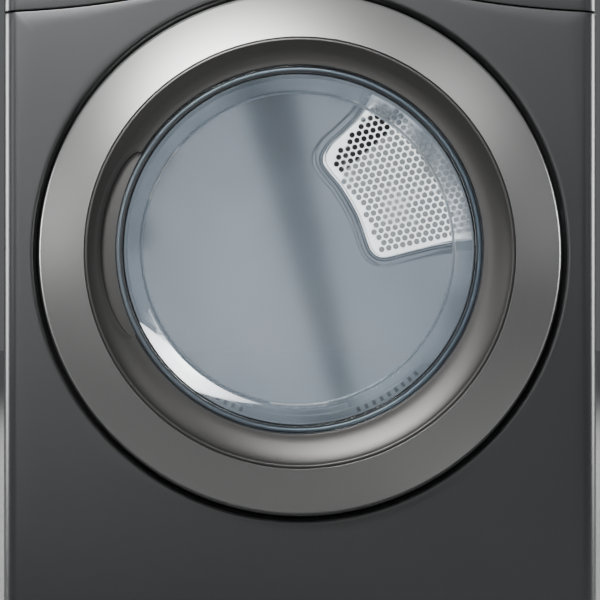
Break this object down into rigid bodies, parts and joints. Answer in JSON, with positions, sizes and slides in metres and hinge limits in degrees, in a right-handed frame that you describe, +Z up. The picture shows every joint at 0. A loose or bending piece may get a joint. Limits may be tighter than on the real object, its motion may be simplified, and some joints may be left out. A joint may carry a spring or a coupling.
{
  "type": "clothes dryer",
  "caption": "Full-size front-loading vented clothes dryer with a round glass bowl door, a turning drum, a heater, a blower and a lift-out lint filter.",
  "frame": {"origin": "on the floor, under the middle of the machine's bounding box", "axes": "+X to the machine's right as seen from the front, +Y from front to back, +Z up"},
  "size_m": [0.686, 0.8, 0.984],
  "materials": {
    "dark_paint": "metallic dark grey paint, satin",
    "fascia_paint": "metallic dark grey painted plastic",
    "ring_paint": "silver metallic paint, satin",
    "trim_paint": "dark metallic paint, satin",
    "glass": "clear, faintly blue",
    "black_rubber": "black, matt",
    "felt": "grey felt",
    "galvanised": "galvanised sheet, dull",
    "drum_steel": "smooth steel, blue-grey sheen",
    "polished_steel": "polished perforated plate",
    "white_plastic": "white moulding",
    "grey_plastic": "grey moulding",
    "black_plastic": "black, glossy",
    "control_silver": "satin silver",
    "heater_wire": "heat-tinted wire",
    "motor_shell": "cast end bells, painted",
    "circuit_board": "green circuit board"
  },
  "bodies": {
    "root": {"front_panel": "dark_paint", "side_panel_left": "dark_paint", "side_panel_right": "dark_paint", "top_panel": "dark_paint", "rear_panel": "galvanised", "base_pan": "galvanised", "terminal_cover": "galvanised", "control_fascia": "fascia_paint", "display_window": "black_plastic", "control_board": "circuit_board", "hinge_bracket": "galvanised", "latch_catch": "black_plastic", "front_bulkhead": "galvanised", "front_seal": "felt", "rear_bulkhead": "galvanised", "rear_seal": "felt", "roller_axle_front_left": "galvanised", "roller_axle_front_right": "galvanised", "roller_axle_rear_left": "galvanised", "roller_axle_rear_right": "galvanised", "drum_lamp_lens": "white_plastic", "air_inlet_grille": "polished_steel", "heater_duct": "galvanised", "heater_coil": "heater_wire", "lint_housing": "grey_plastic", "blower_housing": "grey_plastic", "exhaust_pipe": "galvanised", "motor_body": "motor_shell", "motor_mount": "galvanised", "drum_belt": "black_rubber"},
    "door": {"door_ring": "ring_paint", "door_trim": "trim_paint", "door_bowl": "glass", "bowl_gasket": "black_rubber", "door_liner": "trim_paint", "door_seal": "black_rubber", "hinge_pin": "galvanised", "door_strike": "galvanised"},
    "drum": {"drum_shell": "drum_steel", "baffle_1": "white_plastic", "baffle_2": "white_plastic", "baffle_3": "white_plastic"},
    "rotor": {"motor_shaft": "galvanised", "blower_wheel": "black_plastic"},
    "idler_arm": {"idler_arm": "galvanised"},
    "idler_pulley": {"idler_pulley": "white_plastic"},
    "lint_filter": {"lint_filter": "grey_plastic"},
    "cycle_dial": {"cycle_dial": "control_silver"},
    "option_button": {"option_button": "control_silver"},
    "power_button": {"power_button": "control_silver"},
    "start_button": {"start_button": "control_silver"},
    "door_switch": {"door_switch": "white_plastic"},
    "roller_front_left": {"roller_front_left": "black_rubber"},
    "roller_front_right": {"roller_front_right": "black_rubber"},
    "roller_rear_left": {"roller_rear_left": "black_rubber"},
    "roller_rear_right": {"roller_rear_right": "black_rubber"},
    "foot_front_left": {"foot_front_left": "black_rubber"},
    "foot_front_right": {"foot_front_right": "black_rubber"},
    "foot_rear_left": {"foot_rear_left": "black_rubber"},
    "foot_rear_right": {"foot_rear_right": "black_rubber"}
  },
  "joints": [
    {"name": "drum_spin", "type": "hinge", "parent": "root", "child": "drum", "pos_m": [0, 0.02, 0.556], "axis": [0, 1, 0], "continuous": true},
    {"name": "door_swing", "type": "hinge", "parent": "root", "child": "door", "pos_m": [0.282, -0.366, 0.545], "axis": [0, 0, 1], "range_deg": [0, 110]},
    {"name": "rotor_spin", "type": "hinge", "parent": "root", "child": "rotor", "pos_m": [0.15002, -0.1, 0.15], "axis": [0, 1, 0], "continuous": true},
    {"name": "roller_front_left_spin", "type": "hinge", "parent": "root", "child": "roller_front_left", "pos_m": [-0.22903, -0.243, 0.28306], "axis": [0, 1, 0], "continuous": true},
    {"name": "roller_front_right_spin", "type": "hinge", "parent": "root", "child": "roller_front_right", "pos_m": [0.22903, -0.243, 0.28306], "axis": [0, 1, 0], "continuous": true},
    {"name": "roller_rear_left_spin", "type": "hinge", "parent": "root", "child": "roller_rear_left", "pos_m": [-0.22903, 0.284, 0.28306], "axis": [0, 1, 0], "continuous": true},
    {"name": "roller_rear_right_spin", "type": "hinge", "parent": "root", "child": "roller_rear_right", "pos_m": [0.22903, 0.284, 0.28306], "axis": [0, 1, 0], "continuous": true},
    {"name": "idler_swing", "type": "hinge", "parent": "root", "child": "idler_arm", "pos_m": [0.12202, 0.036, 0.078], "axis": [0, -1, 0], "range_deg": [0, 10], "stiffness_Nm_per_rad": 4, "springref_deg": -14.32},
    {"name": "idler_spin", "type": "hinge", "parent": "idler_arm", "child": "idler_pulley", "pos_m": [0.09103, 0.0203, 0.14092], "axis": [0, 1, 0], "continuous": true},
    {"name": "lint_filter_slide", "type": "slide", "parent": "root", "child": "lint_filter", "axis": [0, 0, 1], "range_m": [0, 0.16]},
    {"name": "cycle_dial_turn", "type": "hinge", "parent": "root", "child": "cycle_dial", "pos_m": [0, -0.358, 0.913], "axis": [0, -1, 0], "continuous": true},
    {"name": "option_button_press", "type": "slide", "parent": "root", "child": "option_button", "axis": [0, 1, 0], "range_m": [0, 0.0015], "stiffness_N_per_m": 600, "springref_m": -0.0005},
    {"name": "power_button_press", "type": "slide", "parent": "root", "child": "power_button", "axis": [0, 1, 0], "range_m": [0, 0.0015], "stiffness_N_per_m": 600, "springref_m": -0.0005},
    {"name": "start_button_press", "type": "slide", "parent": "root", "child": "start_button", "axis": [0, 1, 0], "range_m": [0, 0.0015], "stiffness_N_per_m": 600, "springref_m": -0.0005},
    {"name": "door_switch_press", "type": "slide", "parent": "root", "child": "door_switch", "axis": [0, 1, 0], "range_m": [0, 0.003], "stiffness_N_per_m": 300, "springref_m": -0.001},
    {"name": "foot_front_left_turn", "type": "hinge", "parent": "root", "child": "foot_front_left", "pos_m": [-0.3, -0.302, 0.02], "axis": [0, 0, 1], "continuous": true},
    {"name": "foot_front_right_turn", "type": "hinge", "parent": "root", "child": "foot_front_right", "pos_m": [0.3, -0.302, 0.02], "axis": [0, 0, 1], "continuous": true},
    {"name": "foot_rear_left_turn", "type": "hinge", "parent": "root", "child": "foot_rear_left", "pos_m": [-0.3, 0.322, 0.02], "axis": [0, 0, 1], "continuous": true},
    {"name": "foot_rear_right_turn", "type": "hinge", "parent": "root", "child": "foot_rear_right", "pos_m": [0.3, 0.322, 0.02], "axis": [0, 0, 1], "continuous": true}
  ],
  "couplings": [
    {"joint": "rotor_spin", "follows": "drum_spin", "ratio": 31.8},
    {"joint": "roller_front_left_spin", "follows": "drum_spin", "ratio": -8.3684},
    {"joint": "roller_front_right_spin", "follows": "drum_spin", "ratio": -8.3684},
    {"joint": "roller_rear_left_spin", "follows": "drum_spin", "ratio": -8.3684},
    {"joint": "roller_rear_right_spin", "follows": "drum_spin", "ratio": -8.3684},
    {"joint": "idler_spin", "follows": "drum_spin", "ratio": -15.9}
  ]
}
